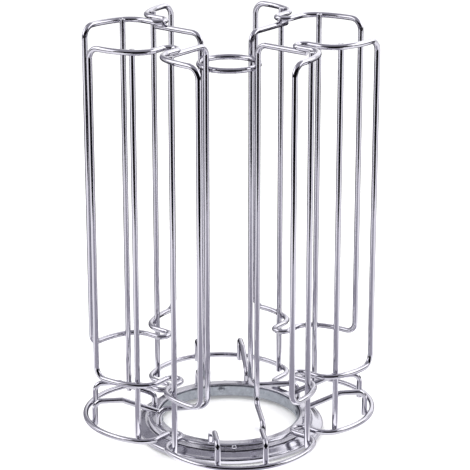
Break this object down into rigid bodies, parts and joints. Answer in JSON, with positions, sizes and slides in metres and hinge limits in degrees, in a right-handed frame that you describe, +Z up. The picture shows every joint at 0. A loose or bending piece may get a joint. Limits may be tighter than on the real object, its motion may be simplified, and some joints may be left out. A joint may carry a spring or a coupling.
{
  "type": "coffee capsule dispenser",
  "caption": "Chromed wire carousel that stores coffee capsules in open columns around a middle axis and turns on a flat ball-bearing ring.",
  "frame": {"origin": "on the table, under the middle of the turntable", "axes": "+Z up along the turning axis, +X through the middle of the right column, -Y through the middle of the front column"},
  "size_m": [0.1864, 0.1864, 0.2587],
  "materials": {
    "chromed_wire": "bright chromed drawn wire",
    "chromed_sheet": "bright chromed pressed sheet",
    "zinc_plated_steel": "satin zinc plating",
    "black_rubber": "matt moulded rubber"
  },
  "bodies": {
    "turntable_base": {"turntable_base_ring": "chromed_sheet", "rubber_foot_back_right": "black_rubber", "rubber_foot_back_left": "black_rubber", "rubber_foot_front_left": "black_rubber", "rubber_foot_front_right": "black_rubber"},
    "rack": {"base_ring": "chromed_wire", "corner_frame_back_right": "chromed_wire", "corner_frame_back_left": "chromed_wire", "corner_frame_front_left": "chromed_wire", "corner_frame_front_right": "chromed_wire", "rod_right_back_side": "chromed_wire", "rod_right_front_side": "chromed_wire", "rod_back_left_side": "chromed_wire", "rod_back_right_side": "chromed_wire", "rod_left_front_side": "chromed_wire", "rod_left_back_side": "chromed_wire", "rod_front_right_side": "chromed_wire", "rod_front_left_side": "chromed_wire", "inner_upright_back_right": "chromed_wire", "inner_upright_back_left": "chromed_wire", "inner_upright_front_left": "chromed_wire", "inner_upright_front_right": "chromed_wire", "centre_ring": "chromed_wire", "shelf_wire_right_back_side": "chromed_wire", "shelf_wire_right_front_side": "chromed_wire", "shelf_wire_back_left_side": "chromed_wire", "shelf_wire_back_right_side": "chromed_wire", "shelf_wire_left_front_side": "chromed_wire", "shelf_wire_left_back_side": "chromed_wire", "shelf_wire_front_right_side": "chromed_wire", "shelf_wire_front_left_side": "chromed_wire", "turntable_cap_ring": "chromed_sheet", "turntable_retaining_ring": "zinc_plated_steel", "turntable_rivet_right": "zinc_plated_steel", "turntable_rivet_back": "zinc_plated_steel", "turntable_rivet_left": "zinc_plated_steel", "turntable_rivet_front": "zinc_plated_steel"},
    "ball_cage": {"turntable_ball_cage": "zinc_plated_steel"}
  },
  "joints": [
    {"name": "rack_spin", "type": "hinge", "parent": "turntable_base", "child": "rack", "pos_m": [0, 0, 0], "axis": [0, 0, 1], "continuous": true},
    {"name": "ball_cage_spin", "type": "hinge", "parent": "turntable_base", "child": "ball_cage", "pos_m": [0, 0, 0], "axis": [0, 0, 1], "continuous": true}
  ],
  "couplings": [
    {"joint": "ball_cage_spin", "follows": "rack_spin", "ratio": 0.5}
  ]
}
